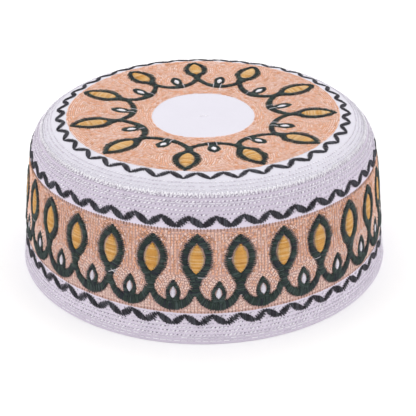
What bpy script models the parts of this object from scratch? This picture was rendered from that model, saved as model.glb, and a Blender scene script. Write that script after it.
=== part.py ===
"""A stiff round kufi: a crown panel and a side band of quilted cotton, sewn edge to edge.

The cap stands on its lower edge, with the origin at the middle of that edge and +Z up.
Lengths are in metres.
"""

import bisect
import math
from collections import namedtuple

import bpy

# The line that is turned round the cap's axis, from the lower edge up to the middle of the crown.
Section = namedtuple("Section", "place radius height")
SECTIONS = (
    Section("lower edge", 0.0930, 0.0000),
    Section("hem stitching", 0.0921, 0.0040),
    Section("lower border", 0.0907, 0.0120),
    Section("vine foot", 0.0890, 0.0280),
    Section("vine head", 0.0867, 0.0460),
    Section("shoulder start", 0.0849, 0.0575),
    Section("shoulder", 0.0824, 0.0640),
    Section("seam", 0.0790, 0.0679),
    Section("crown border", 0.0745, 0.0712),
    Section("flat top edge", 0.0690, 0.0728),
    Section("crown ring", 0.0620, 0.0730),
    Section("ring middle", 0.0500, 0.0724),
    Section("vine ring", 0.0380, 0.0713),
    Section("plain disc edge", 0.0260, 0.0704),
    Section("disc", 0.0120, 0.0701),
    Section("middle", 0.0000, 0.0700),
)

WALL = 0.0020  # two layers of cotton with an interlining between them
SEAM_GAP = 0.0003  # between the facing edges of the crown and the band
FOLD_RADIUS = 0.0007  # rounding of the folded lower edge
FOLD_STEPS = 2  # straight runs in each rounded corner of the fold

TURN_STEPS = 72  # facets round the cap
FINE_STEP = 0.0005  # spacing of the points that the smooth line is measured with
MERGE_DISTANCE = 0.00005  # joins the turned points that meet on the axis

# How far apart the turned rings lie, by the length along the line from the lower edge.
Stretch = namedtuple("Stretch", "until spacing")
RING_SPACING = (
    Stretch(0.0560, 0.0072),
    Stretch(0.0880, 0.0034),
    Stretch(1.0000, 0.0130),
)

# Colour is linear red, green, blue: white cotton with a lavender cast.
Finish = namedtuple("Finish", "colour roughness")
CROWN_FINISH = Finish((0.78, 0.74, 0.82), 0.85)
BAND_FINISH = Finish((0.74, 0.70, 0.79), 0.85)


def clear_scene():
    """Take away whatever the scene holds."""
    for existing in list(bpy.data.objects):
        bpy.data.objects.remove(existing)


def blend_between(before, start, end, after, part):
    """Value of a smooth curve between start and end, at a part from 0 to 1 of the way."""
    slope_in = (end - before) / 2
    slope_out = (after - start) / 2
    rise = end - start
    return (
        start
        + slope_in * part
        + (3 * rise - 2 * slope_in - slope_out) * part**2
        + (slope_in + slope_out - 2 * rise) * part**3
    )


def smooth_line(sections):
    """Closely spaced (radius, height) points on a smooth curve through the sections."""
    corners = [(section.radius, section.height) for section in sections]
    first = tuple(2 * a - b for a, b in zip(corners[0], corners[1]))
    mirrored = (-corners[-2][0], corners[-2][1])
    padded = [first, *corners, mirrored]
    line = []
    for index in range(1, len(padded) - 2):
        before, start, end, after = padded[index - 1 : index + 3]
        count = max(2, round(math.dist(start, end) / FINE_STEP))
        for step in range(count):
            part = step / count
            line.append(
                tuple(
                    blend_between(*four, part) for four in zip(before, start, end, after)
                )
            )
    line.append(corners[-1])
    return line


def measured(line):
    """Length along the line at each of its points."""
    lengths = [0.0]
    for start, end in zip(line, line[1:]):
        lengths.append(lengths[-1] + math.dist(start, end))
    return lengths


class TurnedLine:
    """The cap's outer line, read by the length along it from the lower edge."""

    def __init__(self, sections):
        self.points = smooth_line(sections)
        self.lengths = measured(self.points)
        self.total = self.lengths[-1]

    def outer(self, length):
        """(radius, height) on the outside of the cloth."""
        last = len(self.points) - 1
        index = min(max(bisect.bisect_left(self.lengths, length), 1), last)
        span = self.lengths[index] - self.lengths[index - 1]
        part = (length - self.lengths[index - 1]) / span
        start, end = self.points[index - 1], self.points[index]
        return tuple(a + (b - a) * part for a, b in zip(start, end))

    def inner(self, length):
        """(radius, height) on the inside of the cloth, one wall thickness in."""
        low = self.outer(max(length - FINE_STEP, 0.0))
        high = self.outer(min(length + FINE_STEP, self.total))
        along = (high[0] - low[0], high[1] - low[1])
        size = math.hypot(*along)
        radius, height = self.outer(length)
        inner_radius = max(radius - WALL * along[1] / size, 0.0)
        return (inner_radius, height + WALL * along[0] / size)

    def length_at(self, place):
        """Length along the line at a named section."""
        wanted = next(section for section in SECTIONS if section.place == place)
        middle = (wanted.radius, wanted.height)
        gaps = [math.dist(point, middle) for point in self.points]
        return self.lengths[gaps.index(min(gaps))]


def ring_lengths(start, end):
    """Lengths of the turned rings from start to end, closer together on the shoulder."""
    lengths = [start]
    for stretch in RING_SPACING:
        low, high = lengths[-1], min(end, stretch.until)
        if high <= low:
            continue
        count = max(1, round((high - low) / stretch.spacing))
        lengths += [low + (high - low) * step / count for step in range(1, count + 1)]
    return lengths


def folded_corner(centre, start_angle):
    """Points of a quarter turn, clockwise in the (radius, height) plane."""
    points = []
    for step in range(FOLD_STEPS + 1):
        angle = start_angle - math.pi / 2 * step / FOLD_STEPS
        across = FOLD_RADIUS * math.cos(angle)
        points.append((centre[0] + across, centre[1] + FOLD_RADIUS * math.sin(angle)))
    return points


def crown_profile(line):
    """From the middle down the outside to the seam edge, and back inside to the middle."""
    lengths = ring_lengths(line.length_at("seam") + SEAM_GAP / 2, line.total)
    outside = [line.outer(length) for length in reversed(lengths)]
    inside = [line.inner(length) for length in lengths]
    inside[-1] = (0.0, inside[-1][1])
    return outside + inside


def band_profile(line):
    """From the seam edge down the outside, round the folded edge, and back up inside."""
    lengths = ring_lengths(2 * FOLD_RADIUS, line.length_at("seam") - SEAM_GAP / 2)
    outside = [line.outer(length) for length in reversed(lengths)]
    inside = [line.inner(length) for length in lengths]
    edge_radius = SECTIONS[0].radius
    outer_corner = (edge_radius - FOLD_RADIUS, FOLD_RADIUS)
    inner_corner = (edge_radius - WALL + FOLD_RADIUS, FOLD_RADIUS)
    fold = folded_corner(outer_corner, 0.0) + folded_corner(inner_corner, -math.pi / 2)
    return outside + fold + inside


def cloth_material(name, finish):
    """A matte cloth in one colour."""
    material = bpy.data.materials.new(name)
    material.use_nodes = True
    shader = material.node_tree.nodes["Principled BSDF"]
    shader.inputs["Base Color"].default_value = (*finish.colour, 1.0)
    shader.inputs["Roughness"].default_value = finish.roughness
    shader.inputs["Metallic"].default_value = 0.0
    material.diffuse_color = (*finish.colour, 1.0)
    return material


def turned_piece(name, profile, closed, finish, collection):
    """A solid made by turning a (radius, height) profile round the cap's axis."""
    mesh = bpy.data.meshes.new(name)
    vertices = [(radius, 0.0, height) for radius, height in profile]
    edges = [(index, index + 1) for index in range(len(profile) - 1)]
    if closed:
        edges.append((len(profile) - 1, 0))
    mesh.from_pydata(vertices, edges, [])
    piece = bpy.data.objects.new(name, mesh)
    collection.objects.link(piece)
    piece.data.materials.append(cloth_material(name + "_cotton", finish))
    screw = piece.modifiers.new("turn", "SCREW")
    screw.axis = "Z"
    screw.angle = math.tau
    screw.steps = TURN_STEPS
    screw.render_steps = TURN_STEPS
    screw.use_merge_vertices = True
    screw.merge_threshold = MERGE_DISTANCE
    screw.use_smooth_shade = True
    return piece


def build_kufi():
    """Make the two sewn pieces in a collection of their own."""
    collection = bpy.data.collections.new("kufi")
    bpy.context.scene.collection.children.link(collection)
    line = TurnedLine(SECTIONS)
    turned_piece("crown", crown_profile(line), False, CROWN_FINISH, collection)
    turned_piece("side_band", band_profile(line), True, BAND_FINISH, collection)


clear_scene()
build_kufi()
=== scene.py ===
import math
import bpy
import numpy as np
from mathutils import Matrix, Vector


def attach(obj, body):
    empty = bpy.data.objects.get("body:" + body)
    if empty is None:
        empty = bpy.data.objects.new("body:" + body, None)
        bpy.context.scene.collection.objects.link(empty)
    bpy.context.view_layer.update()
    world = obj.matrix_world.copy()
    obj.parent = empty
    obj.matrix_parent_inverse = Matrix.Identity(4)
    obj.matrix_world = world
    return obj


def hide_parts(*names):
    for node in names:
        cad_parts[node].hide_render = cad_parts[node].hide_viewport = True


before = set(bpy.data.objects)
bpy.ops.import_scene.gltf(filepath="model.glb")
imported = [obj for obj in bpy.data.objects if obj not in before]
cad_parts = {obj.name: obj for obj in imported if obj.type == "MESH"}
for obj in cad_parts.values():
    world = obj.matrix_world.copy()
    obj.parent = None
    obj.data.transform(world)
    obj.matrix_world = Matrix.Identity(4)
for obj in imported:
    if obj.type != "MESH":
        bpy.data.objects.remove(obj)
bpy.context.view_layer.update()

# All sewing is charted in millimetres on the flat cloth and then wrapped onto the cap.
# Angles run from the front of the cap, -Y, towards +X.
mm = 0.001
turn = 2 * math.pi
luck = np.random.default_rng(27)

# the outer line of the cap from the lower edge to the middle of the crown: radius, height
capLine = {
    "lower edge": (93.0, 0.0),
    "hem stitching": (92.1, 4.0),
    "lower border": (90.7, 12.0),
    "vine foot": (89.0, 28.0),
    "vine head": (86.7, 46.0),
    "shoulder start": (84.9, 57.5),
    "shoulder": (82.4, 64.0),
    "seam": (79.0, 67.9),
    "crown border": (74.5, 71.2),
    "flat top edge": (69.0, 72.8),
    "crown ring": (62.0, 73.0),
    "ring middle": (50.0, 72.4),
    "vine ring": (38.0, 71.3),
    "plain disc edge": (26.0, 70.4),
    "disc": (12.0, 70.1),
    "middle": (0.0, 70.0),
}

# in mm: places up the cap are lengths along that line from the lower edge
plan = {
    "chartRadius": 87.5,  # the side band is unrolled at this radius
    "seam": 70.45,
    "wall": 2.0,
    "foldRadius": 0.7,
    "lowerZigzagFoot": 9.35,
    "peachFoot": 15.3,
    "peachTop": 55.1,
    "upperZigzagFoot": 56.0,
    "crownZigzagFoot": 77.7,
    "crownPeachRadius": 67.0,
    "discRadius": 26.9,
    "discOval": 1.1,  # the plain disc is this much longer from front to back
    "crownOval": 0.8,  # and the crown's border narrower across
}
wayRound = turn * plan["chartRadius"]


# curves and places


def smoothCurve(points, step=0.3, beyond=None):
    # close points on a smooth curve through the given ones
    points = np.array(list(points), float)
    last = 2 * points[-1] - points[-2] if beyond is None else np.array(beyond, float)
    padded = np.vstack([2 * points[0] - points[1], points, last])
    runs = []
    for before, start, end, after in zip(padded, padded[1:], padded[2:], padded[3:]):
        count = max(2, round(math.dist(start, end) / step))
        t = np.arange(count)[:, None] / count
        slopeIn, slopeOut, rise = (end - before) / 2, (after - start) / 2, end - start
        square, cube = 3 * rise - 2 * slopeIn - slopeOut, slopeIn + slopeOut - 2 * rise
        runs.append(start + slopeIn * t + square * t**2 + cube * t**3)
    return np.vstack([*runs, points[-1:]])


def lengthsAlong(curve):
    steps = np.linalg.norm(np.diff(curve, axis=0), axis=1)
    return np.concatenate([[0.0], np.cumsum(steps)])


def pointsAlong(curve, wanted):
    # points at the wanted lengths along a curve
    lengths = lengthsAlong(curve)
    return np.stack([np.interp(wanted, lengths, column) for column in curve.T], -1)


def unit(vectors):
    size = np.linalg.norm(vectors, axis=-1, keepdims=True)
    return vectors / np.maximum(size, 1e-12)


lineCurve = smoothCurve(capLine.values(), 0.5, beyond=(-12.0, 70.1))
lineLength = lengthsAlong(lineCurve)
lineSlope = np.gradient(lineCurve, lineLength, axis=0)
wholeLength = lineLength[-1]


def lengthAtRadius(radius):
    # crown only: length along the line at a distance from the middle
    crown = lineLength > plan["seam"] - 2
    return np.interp(radius, lineCurve[crown, 0][::-1], lineLength[crown][::-1])


def wavesRound(angle, waves):
    # depth in mm, waves in a turn, start
    return sum(deep * np.sin(number * angle + start) for deep, number, start in waves)


# The hand made cloth isn't quite true: it has long shallow waves, which change over the shoulder
# and fade out at the lower edge and in the middle of the crown.
softCloth = {
    "changeFrom": 55, "changeOver": 25, "fadeAtEdge": 10, "fadeAtMiddle": 20,
    "turning": 9,  # one row of the crown's waves turns by a radian in this length
}


def softness(length, angle):
    side = wavesRound(angle, ((0.22, 3, 0.6), (0.14, 7, 2.1)))
    crown = wavesRound(angle, ((0.18, 2, 1.0), (0.12, 5, length / softCloth["turning"])))
    share = np.clip((length - softCloth["changeFrom"]) / softCloth["changeOver"], 0, 1)
    calm = np.clip(length / softCloth["fadeAtEdge"], 0, 1)
    calm = calm * np.clip((wholeLength - length) / softCloth["fadeAtMiddle"], 0, 1)
    return calm * (side * (1 - share) + crown * share)


def turnedPlace(radius, height, angle):
    place = np.broadcast_arrays(radius * np.sin(angle), -radius * np.cos(angle), height)
    return np.stack(place, -1) * mm


def onCloth(length, angle, lift=0.0):
    # a place on the outside of the cap, in metres
    length = np.clip(length, 0, wholeLength)
    radius, height = (np.interp(length, lineLength, column) for column in lineCurve.T)
    slopeRadius, slopeHeight = (np.interp(length, lineLength, column) for column in lineSlope.T)
    out = lift + softness(length, angle)
    return turnedPlace(radius + out * slopeHeight, height - out * slopeRadius, angle)


def onSide(across, up, lift=0.0):
    return onCloth(up, across / plan["chartRadius"], lift)


def onCrown(across, up, lift=0.0):
    # the crown seen from above, with the front of the cap at the bottom
    return onCloth(lengthAtRadius(np.hypot(across, up)), np.arctan2(across, -up), lift)


def degreesAcross(degrees):
    return math.radians(degrees) * plan["chartRadius"]


def polar(radius, degrees):
    angle = np.radians(degrees)
    return np.stack(np.broadcast_arrays(radius * np.sin(angle), -radius * np.cos(angle)), -1)


# meshes


def newObject(name, vertices, faces, material, smooth=True):
    mesh = bpy.data.meshes.new(name)
    mesh.from_pydata(vertices, [], faces)
    mesh.materials.append(material)
    if smooth:
        mesh.shade_smooth()
    piece = bpy.data.objects.new(name, mesh)
    bpy.context.scene.collection.objects.link(piece)
    return piece


def addMap(piece, name, corners):
    flat = np.concatenate([part.reshape(-1, 2) for part in corners])
    piece.data.uv_layers.new(name=name).uv.foreach_set("vector", flat.ravel())


def addValues(piece, name, values):
    attribute = piece.data.attributes.new(name, "FLOAT", "POINT")
    attribute.data.foreach_set("value", values.ravel().astype(np.float32))


threadShape = {
    "flattened": 0.62,  # height over width
    # boxes of the bake map: length over height, and what stays free at their ends and edges
    "boxAspect": 3,
    "boxMargins": (0.06, 0.12),
}


def sewnThreads(name, threads, chart, material):
    # Each thread is a closed four sided tube. threads holds, for every one, its stations on the
    # flat cloth, the lift and width at each station, and a tone from 0 to 1.
    paths, lifts, widths, tones = (np.concatenate(part) for part in zip(*threads))
    count, stations = lifts.shape
    rings = stations - 2
    perThread = rings * 4 + 2
    middle = chart(paths[..., 0], paths[..., 1], lifts)
    normal = unit(chart(paths[..., 0], paths[..., 1], lifts + 1) - middle)
    side = np.cross(unit(np.gradient(middle, axis=1)), normal)
    normal = normal * threadShape["flattened"]
    half = widths[..., None, None] * mm / 2
    tube = middle[:, :, None] + np.stack([side, normal, -side, -normal], 2) * half
    tube = tube[:, 1:-1].reshape(count, rings * 4, 3)
    vertices = np.concatenate([middle[:, :1], tube, middle[:, -1:]], 1)

    # for every corner of a face, the station along the thread and the quarter turns round it
    ring, k = (grid.ravel() for grid in np.mgrid[1:rings, 0:4])
    sides = np.stack([ring, ring + 1, ring + 1, ring], -1), np.stack([k, k, k + 1, k + 1], -1)
    k = np.arange(4)
    head, tail = [[0, 1, 1]] * 4, [[stations - 1, rings, rings]] * 4
    quarters = np.stack([k + 0.5, k, k + 1], -1)
    tips = np.array(head + tail), np.concatenate([quarters, quarters[:, [0, 2, 1]]])

    # One map has the length along the thread in mm and the turn round it. The other lays every
    # thread in a box of its own, for baking.
    steps = np.linalg.norm(np.diff(middle, axis=1), axis=2) / mm
    length = np.concatenate([np.zeros((count, 1)), np.cumsum(steps, 1)], 1)
    share = length / length[:, -1:]
    index = np.arange(count)[:, None, None]
    columns = math.ceil(math.sqrt(count / threadShape["boxAspect"]))
    rows = math.ceil(count / columns)
    marginX, marginY = threadShape["boxMargins"]
    faces, threadMap, bakeMap = [], [], []
    for station, quarter in (sides, tips):
        vertex = 1 + (station - 1) * 4 + np.floor(quarter).astype(int) % 4
        vertex = np.where(station == 0, 0, np.where(station > rings, perThread - 1, vertex))
        faces += (vertex + index * perThread).reshape(-1, vertex.shape[1]).tolist()
        around = np.broadcast_to(quarter / 4, (count, *quarter.shape))
        threadMap.append(np.stack([length[:, station], around], -1))
        x = (index % columns + marginX + (1 - 2 * marginX) * share[:, station]) / columns
        y = (index // columns + marginY + (1 - 2 * marginY) * around) / rows
        bakeMap.append(np.stack([x, y], -1))
    piece = newObject(name, vertices.reshape(-1, 3), faces, material)
    addMap(piece, "threadMap", threadMap)
    addMap(piece, "OFBake", bakeMap)

    addValues(piece, "tone", np.repeat(tones, perThread))
    # 1 in the middle of a thread and 0 where it goes through the cloth
    crest = 1 - np.abs(2 * share - 1)
    crest = [crest[:, :1], np.repeat(crest[:, 1:-1], 4, axis=1), crest[:, -1:]]
    addValues(piece, "crest", np.concatenate(crest, 1))
    print("sewn", name, count, "threads,", count * rings * 8, "triangles")
    return piece


# stitches

# along a stitch: share of its length, how far it has risen and how thick it is
wideSatin = {
    "shares": (0, 0.03, 0.3, 0.7, 0.97, 1),
    "rise": (0, 0.5, 1, 1, 0.5, 0),
    "girth": (0, 0.85, 1, 1, 0.85, 0),
}
narrowSatin = {
    "shares": (0, 0.05, 0.5, 0.95, 1),
    "rise": (0, 0.55, 1, 0.55, 0),
    "girth": (0, 0.85, 1.05, 0.85, 0),
}
flatStitch = {"shares": (0, 0.18, 0.82, 1), "rise": (0, 1, 1, 0), "girth": (0, 1, 1, 0)}
longStitch = {**flatStitch, "shares": (0, 0.07, 0.93, 1)}
stitching = {
    "middlePlaces": 9,  # points of a shape's middle line, which tells how many threads fit
    "satinRoot": 0.1,  # how far under the cloth a thread begins and ends, in mm
    "flatRoot": 0.08,
    "fullSpan": 2.6,  # a satin thread this long stands at its full height
    "puffLimits": (0.35, 1.15),
    "trueSpan": 1.5,  # threads shorter than this stay truer to the outline
    # how much stitches differ, as shares of their own measure
    "satinSpread": {"rise": 0.07, "girth": 0.06, "ragged": 0.25},
    "flatSpread": {"rise": 0.15, "girth": 0.08, "length": 0.07},
    "startSpread": 0.06,  # in mm
    "firstStart": 0.3,  # in stitches
}


def satin(railA, railB, look):
    # threads laid side by side from one edge of a shape to the other
    lengthA, lengthB = lengthsAlong(railA)[-1], lengthsAlong(railB)[-1]
    shares = np.linspace(0, 1, stitching["middlePlaces"])
    midway = (pointsAlong(railA, shares * lengthA) + pointsAlong(railB, shares * lengthB)) / 2
    count = max(2, round(lengthsAlong(midway)[-1] / look["spacing"]))
    t = (np.arange(count) + 0.5) / count
    lean = look.get("lean", 0.0)
    start = pointsAlong(railA, np.clip(t - lean, 0, 1) * lengthA)
    end = pointsAlong(railB, np.clip(t + lean, 0, 1) * lengthB)
    span = np.linalg.norm(end - start, axis=1, keepdims=True)
    way = unit(end - start)
    ragged = look["ragged"]
    spread = ragged * stitching["satinSpread"]["ragged"]
    comb = np.where(np.arange(count) % 2, ragged, -ragged)[:, None] / 2
    loose = way * np.clip(span / stitching["trueSpan"], 0, 1)
    start = start - loose * (comb + luck.normal(0, spread, (count, 1)))
    end = end + loose * (comb + luck.normal(0, spread, (count, 1))) * look["endRagged"]
    return crossing(start, end, look)


def toned(count, look):
    return np.clip(luck.normal(look["tone"], look["toneSpread"], count), look.get("leastTone", 0), 1)


def crossing(start, end, look):
    # threads that rise from the cloth, cross and go down again
    count, spread, root = len(start), stitching["satinSpread"], stitching["satinRoot"]
    paths = start[:, None] + (end - start)[:, None] * np.array(look["shares"])[None, :, None]
    span = np.linalg.norm(end - start, axis=1) / stitching["fullSpan"]
    puff = look["puff"] * np.clip(span, *stitching["puffLimits"])
    rise = np.array(look["rise"]) * luck.normal(1, spread["rise"], (count, 1))
    widths = look["width"] * np.array(look["girth"]) * luck.normal(1, spread["girth"], (count, 1))
    return paths, (puff + root)[:, None] * rise - root, widths, toned(count, look)


def laid(paths, look):
    # short stitches that lie flat
    count, spread = len(paths), stitching["flatSpread"]
    lifts = look["lift"] * np.array(look["rise"]) * luck.normal(1, spread["rise"], (count, 1))
    widths = look["width"] * np.array(look["girth"]) * luck.normal(1, spread["girth"], (count, 1))
    return paths, lifts - stitching["flatRoot"], widths, toned(count, look)


def running(line, look):
    # stitches one after another along a line on the flat cloth
    whole = lengthsAlong(line)[-1]
    count = max(1, int(whole / (look["stitch"] + look["gap"])))
    begin = (np.arange(count) + luck.uniform(0, stitching["firstStart"])) * whole / count
    begin = np.minimum(begin, whole - look["stitch"])
    begin = begin + luck.normal(0, stitching["startSpread"], count)
    size = look["stitch"] * luck.normal(1, stitching["flatSpread"]["length"], (count, 1))
    return laid(pointsAlong(line, begin[:, None] + size * np.array(look["shares"])), look)


class ClearChart:
    # how far each place on the flat cloth is from the nearest embroidery, up to a reach
    spotsOnThread = 5  # every thread is charted by so many spots
    threadHalf = 0.3

    def __init__(self, low, high, step, reach, wraps):
        self.low, self.step, self.reach, self.wraps = np.array(low), step, reach, wraps
        size = np.ceil((np.array(high) - self.low) / step).astype(int) + (0 if wraps else 1)
        self.field = np.full(size, reach)

    def keepClear(self, threads):
        cells = math.ceil(self.reach / self.step)
        window = np.arange(-cells, cells + 1)
        shares = np.linspace(0, 1, self.spotsOnThread)[None, :, None]
        wide, tall = self.field.shape
        for paths, *_ in threads:
            spots = paths[:, :1] + (paths[:, -1:] - paths[:, :1]) * shares
            for spot in spots.reshape(-1, 2):
                cell = np.rint((spot - self.low) / self.step).astype(int)
                columns, rows = cell[0] + window, cell[1] + window
                if not self.wraps:
                    columns = columns[(columns >= 0) & (columns < wide)]
                rows = rows[(rows >= 0) & (rows < tall)]
                x = self.low[0] + columns * self.step - spot[0]
                y = self.low[1] + rows * self.step - spot[1]
                away = np.hypot(x[:, None], y[None, :]) - self.threadHalf
                patch = np.ix_(columns % wide, rows)
                self.field[patch] = np.minimum(self.field[patch], away)

    def clearance(self, points):
        cell = (points - self.low) / self.step
        base = np.floor(cell).astype(int)
        part = cell - base
        wide, tall = self.field.shape
        total = 0.0
        for dx, dy in ((0, 0), (0, 1), (1, 0), (1, 1)):
            column = base[..., 0] + dx
            column = column % wide if self.wraps else np.clip(column, 0, wide - 1)
            row = np.clip(base[..., 1] + dy, 0, tall - 1)
            weight = abs(1 - dx - part[..., 0]) * abs(1 - dy - part[..., 1])
            total = total + weight * self.field[column, row]
        return total

    def level(self, value):
        # Lines along which the distance has one value: where they cross the sides of the
        # chart's squares is found first, and the crossings are then joined square by square.
        field, places, links = self.field, {}, {}
        high = field > value
        mixed = high[:-1, :-1].astype(int) + high[1:, :-1] + high[:-1, 1:] + high[1:, 1:]
        for i, j in np.argwhere((mixed > 0) & (mixed < 4)).tolist():
            found = []
            sides = (((i, j), (i + 1, j)), ((i + 1, j), (i + 1, j + 1)))
            sides += (((i, j + 1), (i + 1, j + 1)), ((i, j), (i, j + 1)))
            for a, b in sides:
                if high[a] != high[b]:
                    part = (value - field[a]) / (field[b] - field[a])
                    spot = np.array(a) + (np.array(b) - np.array(a)) * part
                    places[(a, b)] = self.low + spot * self.step
                    found.append((a, b))
            for one, two in zip(found[::2], found[1::2]):
                links.setdefault(one, []).append(two)
                links.setdefault(two, []).append(one)
        lines = []
        waiting = dict.fromkeys(sorted(links, key=lambda key: (len(links[key]), key)))
        while waiting:
            key = next(iter(waiting))
            line = []
            while key is not None:
                waiting.pop(key, None)
                line.append(places[key])
                key = next((other for other in links[key] if other in waiting), None)
            if len(line) > 3:
                lines.append(np.array(line))
        return lines


# corners, how far apart the places are and the longest distance that is kept, in mm
sideChartPlan = {
    "low": (-wayRound / 2, 0.0), "high": (wayRound / 2, wholeLength - 50),
    "step": 0.4, "reach": 5.0, "wraps": True,
}
crownChartPlan = {
    "low": (-70.0, -70.0), "high": (70.0, 70.0), "step": 0.5, "reach": 13.0, "wraps": False,
}


def table(*rows):
    return np.array(rows, float)


# The dark vine: a tall drop on a neck, joined to the next by a hanging arc with a bud on it.
# Rows of a drop or bud are height, half width outside and half width of its hole. Rows of a
# neck, leaf or seed are height and half width. Heights are above the fork of the vine, or
# above the middle of the bud. Rows of an arc go across and up, from a fork to the arc's middle.

greenLook = {
    "spacing": 0.47, "ragged": 0.78, "endRagged": 0.45, "lean": 0.01, "puff": 0.6, "width": 0.7,
    "tone": 0.48, "toneSpread": 0.38, **wideSatin,
}
budLook = {**greenLook, "puff": 0.5, "ragged": 0.5, **narrowSatin}
arcLook = {**greenLook, "ragged": 0.42, "endRagged": 1.3}
leafLook = {
    "spacing": 0.42, "ragged": 0.3, "endRagged": 1.0, "puff": 0.5, "width": 0.56, **wideSatin,
}
seedLook = {
    "spacing": 0.42, "ragged": 0.18, "endRagged": 1.0, "puff": 0.45, "width": 0.56,
    "toneSpread": 0.05, **narrowSatin,
}
sideShapes = {
    "drop": {
        "rows": table(
            (4.9, 1.77, 0), (6.9, 2.25, 0), (8.9, 3.5, 0), (10.6, 4.7, 0), (12.0, 5.35, 1.75),
            (14.4, 6.25, 3.05), (16.9, 6.67, 3.65), (19.6, 6.45, 3.4), (22.2, 5.65, 2.5),
            (24.9, 4.2, 0), (26.4, 2.95, 0), (27.7, 1.6, 0), (28.8, 0, 0),
        ),
        "lean": 0.9,  # how far the tip lies to one side of the neck
        "neck": table((0.2, 3.15), (1.6, 2.45), (3.2, 1.9), (5.2, 1.8), (7.4, 2.5)),
    },
    "bud": {
        "rows": table(
            (-3.9, 2.9, 0), (-1.9, 2.95, 0), (-0.7, 3.1, 1.0), (0.6, 3.15, 1.5), (1.9, 3.0, 1.35),
            (3.0, 2.65, 0.8), (3.9, 2.2, 0), (5.2, 1.5, 0), (6.1, 0.9, 0), (6.9, 0, 0),
        ),
        "lean": 0.25,
    },
    "arc": {
        "gap": 19.63,  # from one fork of the vine to the next
        "lower": table((0, 0.1), (1.9, -3.5), (4.1, -5.75), (6.6, -7.0), (9.8, -7.6)),
        "upper": table((2.3, 2.6), (2.85, 0.9), (4.1, -0.95), (6.3, -2.35), (9.8, -3.1)),
    },
    "leaf": table(
        (10.3, 0), (11.2, 0.95), (12.6, 1.9), (14.6, 2.85), (16.8, 3.2), (19.2, 2.95),
        (21.4, 2.2), (23.2, 1.1), (24.3, 0),
    ),
    "seed": table((-1.6, 0), (-1.1, 0.75), (0, 1.2), (1.1, 1.22), (2.3, 0.8), (3.9, 0)),
    "leafTone": 0.5, "leafSpread": 0.2, "seedTone": 0.6, "ragged": 0.78,
}
# on the crown the outlines are thinner and the buds stand on a stem
crownShapes = {
    "drop": {
        "rows": table(
            (4.9, 1.75, 0), (6.9, 2.4, 0), (9.1, 4.2, 0), (10.8, 5.4, 2.3), (12.4, 6.0, 3.25),
            (14.4, 6.4, 3.75), (16.9, 6.5, 3.9), (19.6, 6.15, 3.65), (22.0, 5.25, 2.85),
            (24.2, 4.1, 1.65), (26.1, 2.75, 0), (27.6, 1.4, 0), (28.8, 0, 0),
        ),
        "lean": 0.0,
        "neck": table((0.2, 2.6), (1.6, 2.05), (3.2, 1.8), (5.2, 1.8), (7.4, 2.6)),
    },
    "bud": {
        "rows": table(
            (-7.6, 1.9, 0), (-5.6, 1.95, 0), (-4.0, 2.05, 0), (-2.9, 2.5, 0), (-1.8, 2.95, 1.1),
            (-0.4, 3.2, 1.6), (0.9, 3.25, 1.45), (1.9, 3.1, 0.8), (2.7, 2.75, 0), (3.6, 2.05, 0),
            (4.4, 1.25, 0), (5.1, 0, 0),
        ),
        "lean": 0.0,
    },
    "arc": {
        "gap": 19.63,
        "lower": table((0, 0.1), (1.9, -2.7), (4.1, -4.7), (6.6, -5.9), (9.8, -6.5)),
        "upper": table((1.8, 1.3), (2.8, -0.3), (4.2, -1.7), (6.4, -2.9), (9.8, -3.5)),
    },
    "leaf": table(
        (8.8, 0), (9.6, 1.2), (10.8, 2.1), (12.4, 3.0), (14.4, 3.5), (16.9, 3.6), (19.6, 3.3),
        (22.0, 2.5), (24.2, 1.3), (25.9, 0),
    ),
    "seed": table((-2.4, 0), (-1.6, 0.95), (-0.4, 1.5), (0.6, 1.5), (1.6, 0.95), (2.5, 0)),
    "leafTone": 0.68, "leafSpread": 0.34, "seedTone": 0.95, "ragged": 1.0,
}
overlap = 0.4  # the halves of a drop overlap where they meet, in mm


def tallOf(shape):
    return shape["rows"][-1, 0]


def edgeCurve(rows, shape, hand):
    # one edge of a shape, which leans sideways the higher it goes
    edge = smoothCurve(np.stack([hand * rows[:, 1], rows[:, 0]], -1))
    return leaning(edge, shape)


def leaning(points, shape):
    points[:, 0] += shape["lean"] * np.clip(points[:, 1] / tallOf(shape), 0, 1)
    return points


def sidesOf(shape, hand):
    # outer and inner edge of one half of a drop or bud
    rows = shape["rows"]
    inside = rows[:, 2] > 0
    low, high = np.argmax(inside) - 1, len(rows) - np.argmax(inside[::-1])
    hole = smoothCurve(rows[low : high + 1, [2, 0]] * (hand, 1))
    foot, holeFoot, holeHead, head = rows[[0, low, high, -1], 0]
    past = -hand * overlap
    below = [(past, foot), (past, holeFoot - overlap)]
    above = [(past, holeHead + overlap), (past, head)]
    return edgeCurve(rows, shape, hand), leaning(np.vstack([below, hole, above]), shape)


def acrossOf(rows, shape):
    # left and right edge of a whole shape
    return [edgeCurve(rows, shape, hand) for hand in (-1, 1)]


def arcEdges(arc):
    edges = []
    for edge in (arc["lower"], arc["upper"]):
        mirrored = edge[-2::-1] * (-1, 1) + (arc["gap"], 0)
        edges.append(smoothCurve(np.vstack([edge, mirrored])))
    return edges


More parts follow.
